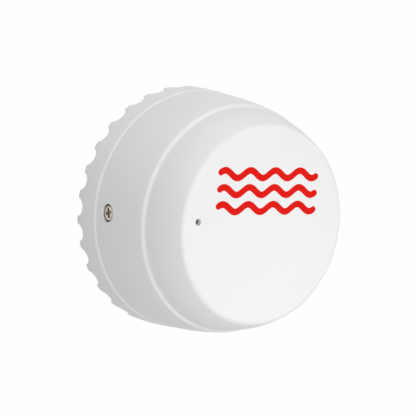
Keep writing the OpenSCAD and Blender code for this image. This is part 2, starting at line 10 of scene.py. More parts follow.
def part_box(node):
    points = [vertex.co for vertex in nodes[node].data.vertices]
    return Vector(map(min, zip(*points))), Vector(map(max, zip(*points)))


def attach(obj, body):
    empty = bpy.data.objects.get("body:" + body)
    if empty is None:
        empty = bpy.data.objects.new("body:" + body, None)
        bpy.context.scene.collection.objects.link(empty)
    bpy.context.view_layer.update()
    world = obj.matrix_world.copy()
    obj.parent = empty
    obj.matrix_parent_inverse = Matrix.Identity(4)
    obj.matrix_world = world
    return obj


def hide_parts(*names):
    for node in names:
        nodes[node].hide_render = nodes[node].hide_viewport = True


mm = 0.001
fullTurn = 2 * math.pi
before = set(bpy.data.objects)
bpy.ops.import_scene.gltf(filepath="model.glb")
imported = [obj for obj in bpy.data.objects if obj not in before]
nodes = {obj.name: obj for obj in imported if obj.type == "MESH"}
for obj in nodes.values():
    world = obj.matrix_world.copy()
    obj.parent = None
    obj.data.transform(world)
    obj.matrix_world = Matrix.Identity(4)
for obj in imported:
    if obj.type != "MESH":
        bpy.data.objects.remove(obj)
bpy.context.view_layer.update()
print("frame loaded with", len(nodes), "pieces")


# Small helpers for meshes

def boxInMm(node):
    low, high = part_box(node)
    return low / mm, high / mm


def arcPoints(centre, radius, fromDegrees, toDegrees, steps):
    points = []
    for i in range(steps + 1):
        a = math.radians(fromDegrees + (toDegrees - fromDegrees) * i / steps)
        points.append((centre[0] + radius * math.cos(a), centre[1] + radius * math.sin(a)))
    return points


def onAxis(angle, radius, height):
    return Vector((radius * math.cos(angle), radius * math.sin(angle), height))


def chain(bm, places, closed=False):
    verts = [bm.verts.new(place) for place in places]
    pairs = list(zip(verts, verts[1:]))
    if closed:
        pairs.append((verts[-1], verts[0]))
    edges = [bm.edges.new(pair) for pair in pairs]
    return verts, edges


def turned(bm, profile, steps, fromAngle=0.0, sweep=fullTurn):
    # a lathe: the profile of (radius, height) points goes round the Z axis
    verts, edges = chain(bm, [onAxis(fromAngle, r, z) for r, z in profile])
    bmesh.ops.spin(bm, geom=verts + edges, cent=(0, 0, 0), axis=(0, 0, 1), angle=sweep, steps=steps,
                   use_merge=sweep == fullTurn)


def closeUp(bm, gap=0.002):
    bmesh.ops.remove_doubles(bm, verts=bm.verts, dist=gap)
    rims = [edge for edge in bm.edges if edge.is_boundary]
    if rims:
        bmesh.ops.holes_fill(bm, edges=rims, sides=0)
    bmesh.ops.recalc_face_normals(bm, faces=bm.faces)


def rod(radius, low, high, steps=48):
    bm = bmesh.new()
    bmesh.ops.create_cone(bm, cap_ends=True, segments=steps, radius1=radius, radius2=radius,
                          depth=high - low)
    bmesh.ops.translate(bm, vec=(0, 0, (low + high) / 2), verts=bm.verts)
    return bm


def placed(bm, matrix):
    bmesh.ops.transform(bm, matrix=matrix, verts=bm.verts)
    return bm


def sideways(side, wall, height):
    # turns a piece that stands along Z into one that points out of the wall, on the left (-1) or right (1)
    return Matrix.Translation((side * wall, 0, height)) @ Matrix.Rotation(side * math.pi / 2, 4, "Y")


def onlyVerts(items):
    return [item for item in items if isinstance(item, bmesh.types.BMVert)]


def joinInto(bm, others):
    for other in others:
        mesh = bpy.data.meshes.new("joining")
        other.to_mesh(mesh)
        other.free()
        bm.from_mesh(mesh)
        bpy.data.meshes.remove(mesh)
    return bm


def loose(name, bm):
    mesh = bpy.data.meshes.new(name)
    bm.to_mesh(mesh)
    bm.free()
    obj = bpy.data.objects.new(name, mesh)
    bpy.context.scene.collection.objects.link(obj)
    return obj


def carve(bm, tool, operation="DIFFERENCE", slots=1):
    target = loose("carveTarget", bm)
    cutter = loose("carveTool", tool)
    for obj in (target, cutter):
        for _ in range(slots):
            obj.data.materials.append(None)
    modifier = target.modifiers.new("carve", "BOOLEAN")
    modifier.operation = operation
    modifier.solver = "MANIFOLD"
    modifier.object = cutter
    result = bmesh.new()
    result.from_object(target, bpy.context.evaluated_depsgraph_get())
    for obj in (target, cutter):
        mesh = obj.data
        bpy.data.objects.remove(obj)
        bpy.data.meshes.remove(mesh)
    return result


def finishPiece(name, bm, materials, body, crease=32):
    bmesh.ops.scale(bm, vec=(mm, mm, mm), verts=bm.verts)
    for face in bm.faces:
        face.smooth = True
    for edge in bm.edges:
        if len(edge.link_faces) == 2:
            edge.smooth = edge.calc_face_angle(0) < math.radians(crease)
    openEdges = sum(1 for edge in bm.edges if len(edge.link_faces) != 2)
    piece = loose(name, bm)
    for material in materials:
        piece.data.materials.append(material)
    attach(piece, body)
    print(name, "made,", len(piece.data.polygons), "faces,", openEdges, "open edges")
    return piece


# Shared surface effects

def newGroup(name, inputs, outputs):
    group = bpy.data.node_groups.new(name, "ShaderNodeTree")
    for label, kind in inputs:
        group.interface.new_socket(label, in_out="INPUT", socket_type=kind)
    for label, kind in outputs:
        group.interface.new_socket(label, in_out="OUTPUT", socket_type=kind)
    start = group.nodes.new("NodeGroupInput")
    end = group.nodes.new("NodeGroupOutput")
    return group, start, end


def addMath(tree, operation, first, second):
    node = tree.nodes.new("ShaderNodeMath")
    node.operation = operation
    for socket, value in zip(node.inputs, (first, second)):
        if isinstance(value, (int, float)):
            socket.default_value = value
        else:
            tree.links.new(value, socket)
    return node.outputs[0]


def addNoise(tree, vector, scale, detail):
    node = tree.nodes.new("ShaderNodeTexNoise")
    node.inputs["Detail"].default_value = detail
    tree.links.new(vector, node.inputs["Vector"])
    tree.links.new(scale, node.inputs["Scale"])
    return node.outputs["Fac"]


def addRange(tree, value, low, high, toLow, toHigh):
    node = tree.nodes.new("ShaderNodeMapRange")
    tree.links.new(value, node.inputs["Value"])
    for label, number in (("From Min", low), ("From Max", high), ("To Min", toLow), ("To Max", toHigh)):
        node.inputs[label].default_value = number
    return node.outputs["Result"]


def addMix(tree, share, first, second):
    node = tree.nodes.new("ShaderNodeMix")
    node.data_type = "RGBA"
    # a mix has sockets for each type of data, and 6, 7 and the output 2 are those for colours
    tree.links.new(share, node.inputs["Factor"])
    for socket, value in zip((node.inputs[6], node.inputs[7]), (first, second)):
        if isinstance(value, tuple):
            socket.default_value = value
        else:
            tree.links.new(value, socket)
    return node.outputs[2]


def objectPlace(tree):
    return tree.nodes.new("ShaderNodeTexCoord").outputs["Object"]


def makeMouldGrain():
    # fine spark-worn grain of a moulding tool, and the broad cloudiness of the plastic
    group, start, end = newGroup("mouldGrain",
                                 [("Grain Scale", "NodeSocketFloat"), ("Cloud Scale", "NodeSocketFloat")],
                                 [("Height", "NodeSocketFloat"), ("Cloud", "NodeSocketFloat")])
    place = objectPlace(group)
    fine = addNoise(group, place, start.outputs["Grain Scale"], detail=4.0)
    broad = addNoise(group, place, start.outputs["Cloud Scale"], detail=2.0)
    group.links.new(fine, end.inputs["Height"])
    group.links.new(broad, end.inputs["Cloud"])
    return group


def makeMetalMarks():
    # turning rings about the X axis of the given place, and patchy staining of the plating
    group, start, end = newGroup("metalMarks",
                                 [("Place", "NodeSocketVector"), ("Ring Scale", "NodeSocketFloat"),
                                  ("Stain Scale", "NodeSocketFloat")],
                                 [("Height", "NodeSocketFloat"), ("Stain", "NodeSocketFloat")])
    rings = group.nodes.new("ShaderNodeTexWave")
    rings.wave_type = "RINGS"
    rings.rings_direction = "X"
    rings.inputs["Distortion"].default_value = 1.5
    group.links.new(start.outputs["Place"], rings.inputs["Vector"])
    group.links.new(start.outputs["Ring Scale"], rings.inputs["Scale"])
    group.links.new(rings.outputs["Fac"], end.inputs["Height"])
    stain = addNoise(group, start.outputs["Place"], start.outputs["Stain Scale"], detail=5.0)
    group.links.new(stain, end.inputs["Stain"])
    return group


mouldGrain = makeMouldGrain()
metalMarks = makeMetalMarks()
noiseSpan = (0.3, 0.7)         # where most values of a noise lie
stainSpan = (0.45, 0.75)       # the values of a noise over which the staining sets in


def newMaterial(name):
    material = bpy.data.materials.new(name)
    material.use_nodes = True
    tree = material.node_tree
    return material, tree, tree.nodes["Principled BSDF"]


def useGroup(tree, group, **values):
    node = tree.nodes.new("ShaderNodeGroup")
    node.node_tree = group
    for label, value in values.items():
        node.inputs[label.replace("_", " ")].default_value = value
    return node


def addBump(tree, shader, height, strength, depth):
    bump = tree.nodes.new("ShaderNodeBump")
    bump.inputs["Strength"].default_value = strength
    bump.inputs["Distance"].default_value = depth
    tree.links.new(height, bump.inputs["Height"])
    tree.links.new(bump.outputs["Normal"], shader.inputs["Normal"])


def shaded(colour, share=0.85):
    return tuple(share * part for part in colour)


def mottle(tree, shader, marks, light, dark, roughness):
    # a colour clouded between two shades, and a roughness that varies with the grain
    colour = addMix(tree, marks.outputs["Cloud"], (*dark, 1), (*light, 1))
    tree.links.new(colour, shader.inputs["Base Color"])
    varied = addRange(tree, marks.outputs["Height"], *noiseSpan, *roughness)
    tree.links.new(varied, shader.inputs["Roughness"])


def mouldedPlastic(name, light, dark, roughness, grain=3000.0, cloud=90.0, depth=0.00002, strength=0.15,
                   gloss=0.3):
    material, tree, shader = newMaterial(name)
    marks = useGroup(tree, mouldGrain, Grain_Scale=grain, Cloud_Scale=cloud)
    mottle(tree, shader, marks, light, dark, roughness)
    shader.inputs["Specular IOR Level"].default_value = gloss
    addBump(tree, shader, marks.outputs["Height"], strength, depth)
    return material


def platedMetal(name, clean, stained, roughness, centre=(0, 0, 0), turn=(0, 0, 0), mirrored=False,
                rings=900.0, stain=700.0, depth=0.00001, strength=0.2):
    material, tree, shader = newMaterial(name)
    place = objectPlace(tree)
    if mirrored:
        fold = tree.nodes.new("ShaderNodeVectorMath")
        fold.operation = "ABSOLUTE"
        tree.links.new(place, fold.inputs[0])
        place = fold.outputs[0]
    mapping = tree.nodes.new("ShaderNodeMapping")
    mapping.vector_type = "TEXTURE"
    mapping.inputs["Location"].default_value = centre
    mapping.inputs["Rotation"].default_value = turn
    tree.links.new(place, mapping.inputs["Vector"])
    marks = useGroup(tree, metalMarks, Ring_Scale=rings, Stain_Scale=stain)
    tree.links.new(mapping.outputs[0], marks.inputs["Place"])
    patch = addRange(tree, marks.outputs["Stain"], *stainSpan, 0.0, 1.0)
    tree.links.new(addMix(tree, patch, (*clean, 1), (*stained, 1)), shader.inputs["Base Color"])
    tree.links.new(addRange(tree, patch, 0.0, 1.0, *roughness), shader.inputs["Roughness"])
    shader.inputs["Metallic"].default_value = 1.0
    addBump(tree, shader, marks.outputs["Height"], strength, depth)
    return material


def clearFinish(name, colour, roughness, transmission, grain=4000.0, cloud=700.0, refraction=1.49):
    material, tree, shader = newMaterial(name)
    marks = useGroup(tree, mouldGrain, Grain_Scale=grain, Cloud_Scale=cloud)
    mottle(tree, shader, marks, colour, shaded(colour), roughness)
    shader.inputs["Transmission Weight"].default_value = transmission
    shader.inputs["IOR"].default_value = refraction
    return material


# Camera at the photograph's viewing angle

cameraView = {
    "imageSide": 416,          # pixels
    "basePixel": (177.76, 205.45),   # where the middle of the foot lies
    "pixelsPerMm": 4.005,      # at the distance of the foot
    "distance": 500.0,         # from the lens to the plane of the foot's middle
    "lean": 38.09,             # of the sensor's axis from the line of sight
    "drop": 12.94,             # of that axis below the image's horizontal
    "turn": 10.7,              # of the sensor about its own axis
    "sensorWidth": 36.0,
    "clipStart": 0.01,         # metres
}


def makeCamera(v):
    lean, drop, turn = (math.radians(v[key]) for key in ("lean", "drop", "turn"))
    across = Vector((math.cos(drop), -math.sin(drop), 0))
    down = Vector((-math.sin(drop), -math.cos(drop), 0))
    towards = Vector((0, 0, 1))
    axisZ = across * math.sin(lean) + towards * math.cos(lean)
    flat = across * math.cos(lean) - towards * math.sin(lean)
    axisX = flat * math.cos(turn) - down * math.sin(turn)
    axisY = axisZ.cross(axisX)
    middle = v["imageSide"] / 2
    base = Vector(((v["basePixel"][0] - middle) / v["pixelsPerMm"],
                   (middle - v["basePixel"][1]) / v["pixelsPerMm"], -v["distance"]))
    seen = Matrix((axisX, axisY, axisZ)).transposed().to_4x4()
    seen.translation = base * mm
    data = bpy.data.cameras.new("camera")
    data.sensor_width = v["sensorWidth"]
    data.lens = v["pixelsPerMm"] * v["distance"] * v["sensorWidth"] / v["imageSide"]
    data.clip_start = v["clipStart"]
    camera = bpy.data.objects.new("camera", data)
    bpy.context.scene.collection.objects.link(camera)
    camera.matrix_world = seen.inverted()
    bpy.context.scene.camera = camera


makeCamera(cameraView)
print("camera set")


# Floor, world and lamps

studio = {
    "floorSide": 4.0,          # metres
    "floorColour": (0.6, 0.6, 0.6, 1),
    "whiteShare": 0.98,        # how much of the seen floor is plain white; the rest keeps the shadow
    "worldColour": (1.0, 1.0, 1.0, 1),
    "worldStrength": 0.314,
    "lamps": [
        # name, place, aim and size in metres, watts
        ("backBox", (0.0, 0.587, 0.14), (0, 0, 0.015), 0.4, 1.10),
        ("leftBox", (-0.254, 0.0, 0.56), (0, 0, 0.015), 0.4, 1.41),
        ("rightBox", (0.18, 0.18, 0.56), (0, 0, 0.015), 0.4, 0.54),
        ("frontBox", (-0.26, -0.45, 0.315), (0, 0, 0.015), 0.4, 0.21),
        ("nearBox", (0.0, -0.10, 0.15), (0, -0.005, 0.0346), 0.08, 0.025),
        ("cornerBox", (0.07, -0.07, 0.14), (0.01, -0.01, 0.0346), 0.08, 0.021),
        ("underBox", (0.0, 0.0, -0.40), (0, 0, 0), 0.05, 0.6),
    ],
}


def seenDirectly(tree):
    # 1 for rays from the camera and in mirrors and glass, 0 for the light that falls on the object
    path = tree.nodes.new("ShaderNodeLightPath")
    direct = addMath(tree, "MAXIMUM", path.outputs["Is Camera Ray"], path.outputs["Is Glossy Ray"])
    return addMath(tree, "MAXIMUM", direct, path.outputs["Is Transmission Ray"])


def makeFloor(s):
    bm = bmesh.new()
    bmesh.ops.create_grid(bm, x_segments=1, y_segments=1, size=s["floorSide"] / 2)
    floor = loose("floor", bm)
    material = bpy.data.materials.new("paleFloor")
    material.use_nodes = True
    tree = material.node_tree
    tree.nodes.clear()
    paper = tree.nodes.new("ShaderNodeBsdfDiffuse")
    paper.inputs["Color"].default_value = s["floorColour"]
    white = tree.nodes.new("ShaderNodeEmission")
    seen = addMath(tree, "MULTIPLY", seenDirectly(tree), s["whiteShare"])
    mixed = tree.nodes.new("ShaderNodeMixShader")
    tree.links.new(seen, mixed.inputs[0])
    tree.links.new(paper.outputs[0], mixed.inputs[1])
    tree.links.new(white.outputs[0], mixed.inputs[2])
    # from below the floor is clear, so that the underside of the sensor can be looked at, and lit
    clear = tree.nodes.new("ShaderNodeBsdfTransparent")
    side = tree.nodes.new("ShaderNodeNewGeometry")
    path = tree.nodes.new("ShaderNodeLightPath")
    both = tree.nodes.new("ShaderNodeMixShader")
    tree.links.new(addMath(tree, "MAXIMUM", side.outputs["Backfacing"], path.outputs["Is Shadow Ray"]),
                   both.inputs[0])
    tree.links.new(mixed.outputs[0], both.inputs[1])
    tree.links.new(clear.outputs[0], both.inputs[2])
    end = tree.nodes.new("ShaderNodeOutputMaterial")
    tree.links.new(both.outputs[0], end.inputs["Surface"])
    floor.data.materials.append(material)


def makeWorld(s):
    world = bpy.data.worlds.new("studio")
    world.use_nodes = True
    tree = world.node_tree
    background = tree.nodes["Background"]
    background.inputs["Color"].default_value = s["worldColour"]
    strength = addRange(tree, seenDirectly(tree), 0.0, 1.0, s["worldStrength"], 1.0)
    tree.links.new(strength, background.inputs["Strength"])
    bpy.context.scene.world = world


def makeLamps(s):
    for name, place, aim, size, watts in s["lamps"]:
        data = bpy.data.lights.new(name, "AREA")
        data.shape = "SQUARE"
        data.size = size
        data.energy = watts
        lamp = bpy.data.objects.new(name, data)
        bpy.context.scene.collection.objects.link(lamp)
        lamp.location = place
        lamp.rotation_euler = (Vector(aim) - Vector(place)).to_track_quat("-Z", "Y").to_euler()


makeFloor(studio)
makeWorld(studio)
makeLamps(studio)
bpy.context.scene.view_settings.view_transform = "Standard"
print("studio set")


# Housing: one white bell with soft edges

housingLook = {
    "teeth": 30,
    "firstNotch": 180.1,       # degrees
    "notchRadius": 2.2,
    "notchHeight": 1.85,
    "notchSteps": 12,
    "tipSteps": 2,
    "footRound": 0.2,
    "footSegments": 3,
    "footSharp": 25.0,         # degrees, from which an edge of the foot is rounded
    "footSlack": 0.01,         # above the notches, in the choice of those edges
    "skirtLean": 0.3,
    "skirtRows": (0.0, 0.35, 0.7, 1.0),   # shares of the rise from the lowest row to the ledge
    "lowestRow": 0.75,         # above the notches
    "lowestBlend": 0.4,        # of the notch's columns into even ones, at that row
    "ledgeHeight": 7.0,
    "ledgeWidth": 0.35,
    "ledgeRound": 0.9,
    "ledgeHollow": 0.9,        # where the body meets the ledge
    "ledgeSteps": 5,
    "bodyLean": 1.7,
    "bodyStart": 0.4,          # degrees along the body's arc, just above the hollow
    "bodySteps": 14,
    "shoulderWidth": 0.6,
    "shoulderRound": 1.1,
    "shoulderHollow": 1.1,     # where the crown meets the shoulder
    "shoulderDrop": 0.15,      # of the bend's middle below the crown's foot
    "shoulderSteps": 6,
    "halvings": 40,            # in the search for the bend's place
    "crownHeight": 10.6,
    "crownLean": 6.0,          # degrees at its foot
    "crownArc": 28.0,
    "crownSteps": 14,
    "faceRound": 1.4,
    "faceSteps": 9,
    "faceRings": (0.6, 0.2, 0),   # shares of the way out from the innermost ring
    "faceWall": 2.0,
    "crownWall": 2.0,
    "innerSteps": 10,
    "innerDrop": 0.2,          # of the upright inner wall below the crown's inner arc
    "boreRadius": 26.9,
    "boreFootLift": 1.5,       # of the bore's lowest even ring above the notches
    "leadIn": 0.5,
    "seatHeight": 17.4,
    "capRadius": 2.0,          # the innermost ring of the face
    "lightRadius": 0.8,
    "lightLip": 0.12,
    "lipSteps": 4,
    "lightSteps": 48,
    "lightReach": 3.0,         # of its cutter below the face
    "lightOver": 1.0,          # of its cutter above the face
    "recessDepth": 1.5,
    "recessSteps": 72,
    "recessOver": 2.0,         # of its cutter beyond the wall
    "ringSink": 0.525,         # of the seal under a screw's head, below the wall
    "recessGap": 0.05,
    "shankHole": 1.25,
    "shankReach": 4.0,         # of its cutter inwards from the wall
    "shankOver": 0.3,          # of its cutter into the recess
    "postRadius": 2.2,
    "postSpots": (14.4, 13.0),
    "pilotRadius": 0.94,
    "pilotDepth": 5.0,
    "pilotOver": 1.0,          # of its cutter below the post
    "pilotSteps": 32,
}


def tierRounding(low, top, radius, arc, rounding):
    # where the rounding at a tier's top has its middle, and the angle at which it leaves the tier's arc
    lift = top - rounding - low
    out = math.sqrt((arc - rounding) ** 2 - lift ** 2)
    return (radius - arc + out, top - rounding), math.degrees(math.atan2(lift, out))


def softStep(s, body, crown, middle):
    # the bend from the body's arc into the crown's: a rounding, then a hollow that meets it
    # both arcs are given as the two coordinates of their centre, and a radius
    outer, inner = s["shoulderRound"], s["shoulderHollow"]
    low, high = middle - outer, middle
    for _ in range(s["halvings"]):
        z = (low + high) / 2
        first = Vector((body[0] + math.sqrt((body[2] - outer) ** 2 - (z - body[1]) ** 2), z))
        z = z + (middle - z) * (outer + inner) / outer
        second = Vector((crown[0] + math.sqrt((crown[2] + inner) ** 2 - (z - crown[1]) ** 2), z))
        if (second - first).length < outer + inner:
            high = first.y
        else:
            low = first.y
    across = second - first
    leave = math.degrees(math.asin((first.y - body[1]) / (body[2] - outer)))
    bend = math.degrees(math.atan2(across.y, across.x))
    join = math.degrees(math.asin((second.y - crown[1]) / (crown[2] + inner)))
    steps = s["shoulderSteps"]
    points = arcPoints(first, outer, leave, bend, steps)
    points += arcPoints(second, inner, 180 + bend, 180 + join, steps)[1:]
    return points, leave, join


def ledgeHalf(s):
    # half the height over which the skirt bends into the body: a rounding and a hollow that meet
    both = s["ledgeRound"] + s["ledgeHollow"]
    return math.sqrt(both ** 2 - (both - s["ledgeWidth"]) ** 2) / 2


def crownCurve(s, skirtRadius, height):
    # radius and height at which the crown's arc would stand upright, and the radius of its foot
    foot = skirtRadius - s["skirtLean"] - s["ledgeWidth"] - s["bodyLean"] - s["shoulderWidth"]
    lean = math.radians(s["crownLean"])
    low = height - s["crownHeight"] - s["crownArc"] * math.sin(lean)
    return foot + s["crownArc"] * (1 - math.cos(lean)), low, foot


def outerProfile(s, skirtRadius, height):
    ledge, edge, hollow = s["ledgeHeight"], s["ledgeRound"], s["ledgeHollow"]
    skirtTop = skirtRadius - s["skirtLean"]
    bodyRadius = skirtTop - s["ledgeWidth"]
    crownFoot = height - s["crownHeight"]
    rise = crownFoot - ledge
    bodyArc = (rise ** 2 + s["bodyLean"] ** 2) / (2 * s["bodyLean"])
    half = ledgeHalf(s)
    bend = math.degrees(math.asin(2 * half / (edge + hollow)))
    steps = s["ledgeSteps"]
    points = arcPoints((skirtTop - edge, ledge - half), edge, 0, bend, steps)
    points += arcPoints((bodyRadius + hollow, ledge + half), hollow, 180 + bend, 180, steps)[1:]
    arc = s["crownArc"]
    wide, low, _ = crownCurve(s, skirtRadius, height)
    step, leave, join = softStep(s, (bodyRadius - bodyArc, ledge, bodyArc), (wide - arc, low, arc),
                                 crownFoot - s["shoulderDrop"])
    points += arcPoints((bodyRadius - bodyArc, ledge), bodyArc, s["bodyStart"], leave, s["bodySteps"])
    points += step[1:]
    middle, start = tierRounding(low, height, wide, arc, s["faceRound"])
    points += arcPoints((wide - arc, low), arc, join, start, s["crownSteps"])[1:]
    points += arcPoints(middle, s["faceRound"], start, 90, s["faceSteps"])[1:]
    cap = s["capRadius"]
    return points + [(cap + (middle[0] - cap) * share, height) for share in s["faceRings"]]


def innerProfile(s, skirtRadius, height, boreFoot):
    wall = s["crownWall"]
    wide, low, foot = crownCurve(s, skirtRadius, height)
    arc = s["crownArc"] - wall
    under = height - s["faceWall"]
    reach = math.degrees(math.asin((under - low) / arc))
    points = arcPoints((wide - wall - arc, low), arc, reach, s["crownLean"], s["innerSteps"])
    points = [(s["capRadius"], under), (points[0][0] / 2, under)] + points
    upper = foot - wall
    points += [(upper, points[-1][1] - s["innerDrop"]), (upper, s["seatHeight"])]
    return points + [(s["boreRadius"], s["seatHeight"]), (s["boreRadius"], boreFoot)]


def toothEdge(s, radiusAt):
    # one pitch of the foot's edge, from tip to tip over a notch: angle and height
    reach = math.acos(1 - s["notchHeight"] / s["notchRadius"])
    half = math.pi / s["teeth"]
    notch = []
    for i in range(s["notchSteps"] + 1):
        a = reach * (2 * i / s["notchSteps"] - 1)
        z = max(0.0, s["notchHeight"] - s["notchRadius"] * (1 - math.cos(a)))
        notch.append((math.asin(s["notchRadius"] * math.sin(a) / radiusAt(z)), z))
    tip = [(-half + (notch[0][0] + half) * i / s["tipSteps"], 0.0) for i in range(s["tipSteps"])]
    return tip + notch + [(-angle, z) for angle, z in reversed(tip)]


def growChain(bm, edges, places):
    made = bmesh.ops.extrude_edge_only(bm, edges=edges)["geom"]
    verts = onlyVerts(made)
    verts.sort(key=lambda vert: math.atan2(vert.co.y, vert.co.x))
    for vert, place in zip(verts, places):
        vert.co = place
    return [item for item in made if isinstance(item, bmesh.types.BMEdge) and set(item.verts) <= set(verts)]


def makeSector(s, skirtRadius, height):
    # one pitch of the bell: a notch with its two half tips, and the walls above them
    bm = bmesh.new()
    half = math.pi / s["teeth"]
    skirtTop = s["ledgeHeight"] - ledgeHalf(s)

    def outerAt(z):
        return skirtRadius - s["skirtLean"] * z / skirtTop

    def innerAt(z):
        return s["boreRadius"] + max(0.0, s["leadIn"] - z)

    outer = toothEdge(s, outerAt)
    inner = toothEdge(s, innerAt)
    columns = len(outer) - 1
    even = [half * (2 * i / columns - 1) for i in range(columns + 1)]
    boreFoot = s["notchHeight"] + s["boreFootLift"]
    foot = chain(bm, [onAxis(a, outerAt(z), z) for a, z in outer])[1]
    under = growChain(bm, foot, [onAxis(a, innerAt(z), z) for a, z in inner])
    growChain(bm, under, [onAxis(a, s["boreRadius"], boreFoot) for a in even])
    lowest = s["notchHeight"] + s["lowestRow"]
    wall = foot
    for share in s["skirtRows"]:
        z = lowest + (skirtTop - lowest) * share
        blend = min(1.0, s["lowestBlend"] + share)
        row = [onAxis(a + (b - a) * blend, outerAt(z), z) for (a, _), b in zip(outer, even)]
        wall = growChain(bm, wall, row)
    for profile in (outerProfile(s, skirtRadius, height), innerProfile(s, skirtRadius, height, boreFoot)):
        turned(bm, profile, columns, -half, 2 * half)
    return bm


def housingOpenings(s, height):
    ringLow, ringHigh = boxInMm("screw_ring_left")
    guideLow, guideHigh = boxInMm("light_guide")
    recess = (ringHigh.y - ringLow.y) / 2 + s["recessGap"]
    screwHeight = (ringLow.z + ringHigh.z) / 2
    wall = -ringLow.x + s["ringSink"]
    tools = []
    for side in (-1, 1):
        out = sideways(side, wall, screwHeight)
        tools.append(placed(rod(recess, -s["recessDepth"], s["recessOver"], s["recessSteps"]), out))
        tools.append(placed(rod(s["shankHole"], -s["shankReach"], s["shankOver"] - s["recessDepth"]), out))
    lip, hole, reach, over = s["lightLip"], s["lightRadius"], s["lightReach"], s["lightOver"]
    profile = [(0, -reach), (hole, -reach)]
    profile += arcPoints((hole + lip, -lip), lip, 180, 90, s["lipSteps"])
    profile += [(hole + lip, over), (0, over)]
    light = bmesh.new()
    turned(light, profile, s["lightSteps"])
    closeUp(light)
    spot = ((guideLow.x + guideHigh.x) / 2, (guideLow.y + guideHigh.y) / 2, height)
    tools.append(placed(light, Matrix.Translation(spot)))
    return tools


def makeHousing(s):
    low, high = boxInMm("housing")
    skirtRadius, height = (high.y - low.y) / 2, high.z
    bm = makeSector(s, skirtRadius, height)
    pitch = fullTurn / s["teeth"]
    bmesh.ops.spin(bm, geom=bm.verts[:] + bm.edges[:] + bm.faces[:], cent=(0, 0, 0), axis=(0, 0, 1),
                   angle=fullTurn - pitch, steps=s["teeth"] - 1, use_duplicate=True)
    closeUp(bm)
    sharp = [edge for edge in bm.edges if edge.calc_face_angle(0) > math.radians(s["footSharp"])
             and max(vert.co.z for vert in edge.verts) < s["notchHeight"] + s["footSlack"]]
    bmesh.ops.bevel(bm, geom=sharp, offset=s["footRound"], offset_type="OFFSET", affect="EDGES",
                    segments=s["footSegments"], profile=0.5, material=-1)
    bmesh.ops.rotate(bm, cent=(0, 0, 0), matrix=Matrix.Rotation(math.radians(s["firstNotch"]), 3, "Z"),
                     verts=bm.verts)
    boardTop = boxInMm("circuit_board")[1].z
    x, y = s["postSpots"]
    spots = [Matrix.Translation((sx * x, sy * y, boardTop)) for sx in (-1, 1) for sy in (-1, 1)]
    rise = height - s["faceWall"] / 2 - boardTop
    posts = [placed(rod(s["postRadius"], 0, rise), spot) for spot in spots]
    bm = carve(bm, joinInto(bmesh.new(), posts), "UNION")
    holes = [placed(rod(s["pilotRadius"], -s["pilotOver"], s["pilotDepth"], s["pilotSteps"]), spot)
             for spot in spots]
    return carve(bm, joinInto(bmesh.new(), housingOpenings(s, height) + holes))


shellWhite = mouldedPlastic("shellWhite", (0.905, 0.905, 0.905), (0.885, 0.885, 0.89), (0.46, 0.56),
                            gloss=0.1)
housing = finishPiece("housingShell", makeHousing(housingLook), [shellWhite], "sensor_body")
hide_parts("housing")


# Side screws: countersunk heads with a cross recess, and the thread that holds in the plug

screwLook = {
    "headRadius": 1.75,
    "headRim": 0.25,
    "rimRound": 0.06,
    "rimSteps": 4,
    "headSink": 0.4,           # below the housing's wall
    "length": 8.0,
    "neckRadius": 1.08,
    "neckTaper": 0.3,          # height over which the neck narrows to the core
    "coreRadius": 0.82,
    "crestRadius": 1.09,
    "crestFlat": 0.14,
    "threadFoot": 0.58,
    "threadSink": 0.1,         # of the thread's foot into the core
    "pitch": 0.9,
    "turns": 7,
    "stepsPerTurn": 28,
    "headSteps": 56,
    "point": 1.2,
    "pointShare": 0.25,        # of the full width that is left at the tip
    "crossWidth": 0.76,
    "crossSpan": 2.4,
    "crossDepth": 1.0,
    "crossOver": 0.2,          # by which the cutter stands above the head
    "spanTaper": 0.75,
    "widthTaper": 0.62,
    "crossTurn": 17.0,         # degrees
}


def screwBlank(s):
    top = -s["headSink"]
    radius, rim, rounding = s["headRadius"], s["headRim"], s["rimRound"]
    neck = top - rim - (radius - s["neckRadius"])
    profile = arcPoints((radius - rounding, top - rounding), rounding, 90, 0, s["rimSteps"])
    profile += [(radius, top - rim), (s["neckRadius"], neck)]
    profile += [(s["coreRadius"], neck - s["neckTaper"]), (s["coreRadius"], top - s["length"])]
    bm = bmesh.new()
    turned(bm, profile, s["headSteps"])
    closeUp(bm)
    return bm


def screwThread(s):
    inside = s["coreRadius"] - s["threadSink"]
    foot, flat = s["threadFoot"] / 2, s["crestFlat"] / 2
    start = -s["headSink"] - s["length"] + s["pitch"] / 2
    section = [(inside, -foot), (s["crestRadius"], -flat), (s["crestRadius"], flat), (inside, foot)]
    bm = bmesh.new()
    verts, edges = chain(bm, [Vector((r, 0, start + z)) for r, z in section], closed=True)
    bmesh.ops.spin(bm, geom=verts + edges, cent=(0, 0, 0), axis=(0, 0, 1), angle=fullTurn * s["turns"],
                   dvec=(0, 0, s["pitch"] / s["stepsPerTurn"]), steps=s["turns"] * s["stepsPerTurn"])
    closeUp(bm)
    return bm


def crossBar(s, turn):
    # one bar of the cross, full size at the head's surface and narrower at its foot
    depth, over = s["crossDepth"], s["crossOver"]
    bm = bmesh.new()
    bmesh.ops.create_cube(bm, size=1.0)
    bmesh.ops.scale(bm, vec=(s["crossSpan"], s["crossWidth"], depth + over), verts=bm.verts)
    bmesh.ops.translate(bm, vec=(0, 0, (over - depth) / 2), verts=bm.verts)
    for vert in bm.verts:
        share = -vert.co.z / depth
        vert.co.x *= 1 - share * (1 - s["spanTaper"])
        vert.co.y *= 1 - share * (1 - s["widthTaper"])
    # the bar's faces take the screw's second material, a darker copy of the plating that paints shade into
    # the cross recess
    for face in bm.faces:
        face.material_index = 1
    lift = Matrix.Translation((0, 0, -s["headSink"]))
    return placed(bm, lift @ Matrix.Rotation(math.radians(turn), 4, "Z"))


